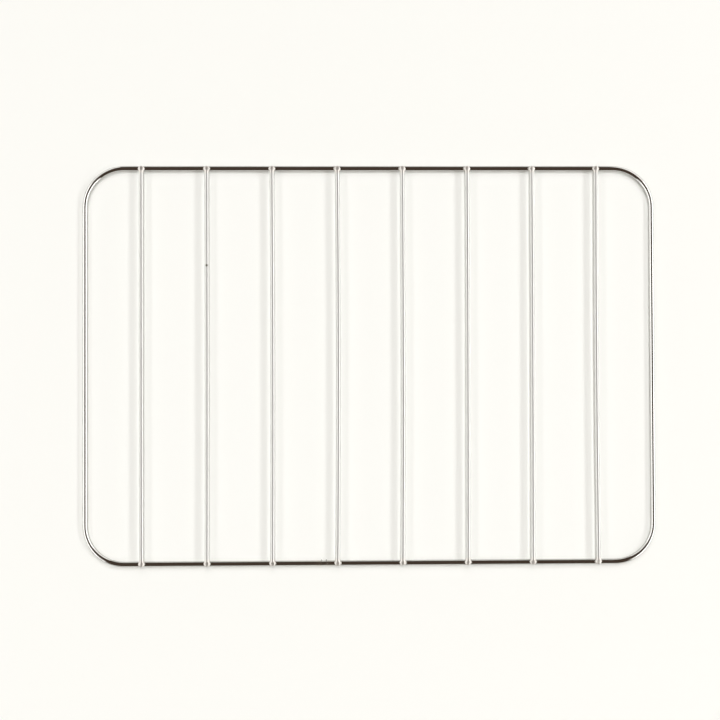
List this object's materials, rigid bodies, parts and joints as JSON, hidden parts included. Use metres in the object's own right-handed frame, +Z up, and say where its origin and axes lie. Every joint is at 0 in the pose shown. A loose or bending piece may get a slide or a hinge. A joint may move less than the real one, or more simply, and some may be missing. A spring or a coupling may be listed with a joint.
{
  "type": "cooling rack",
  "caption": "Flat wire cooling rack: a round wire bent into a frame with rounded corners, with straight cross wires welded over its long rails to carry baked goods in open air.",
  "frame": {"origin": "on the surface that the rack stands on, under the middle of the frame", "axes": "+X along the long side, +Y towards the back long rail, +Z up; the frame's butt weld is on the front rail, left of the middle"},
  "size_m": [0.43, 0.3, 0.0066],
  "materials": {
    "frame_wire": "bright drawn and electropolished stainless steel wire, mirror gloss",
    "cross_wire": "drawn and electropolished stainless steel wire, satin gloss with fine die lines along it",
    "weld_metal": "resistance weld metal, electropolished, slightly rough and faintly straw coloured"
  },
  "bodies": {
    "root": {"frame_wire": "frame_wire", "frame_butt_weld": "weld_metal", "cross_wire_1": "cross_wire", "cross_wire_2": "cross_wire", "cross_wire_3": "cross_wire", "cross_wire_4": "cross_wire", "cross_wire_5": "cross_wire", "cross_wire_6": "cross_wire", "cross_wire_7": "cross_wire", "cross_wire_8": "cross_wire", "back_weld_1": "weld_metal", "back_weld_2": "weld_metal", "back_weld_3": "weld_metal", "back_weld_4": "weld_metal", "back_weld_5": "weld_metal", "back_weld_6": "weld_metal", "back_weld_7": "weld_metal", "back_weld_8": "weld_metal", "front_weld_1": "weld_metal", "front_weld_2": "weld_metal", "front_weld_3": "weld_metal", "front_weld_4": "weld_metal", "front_weld_5": "weld_metal", "front_weld_6": "weld_metal", "front_weld_7": "weld_metal", "front_weld_8": "weld_metal"}
  },
  "joints": []
}
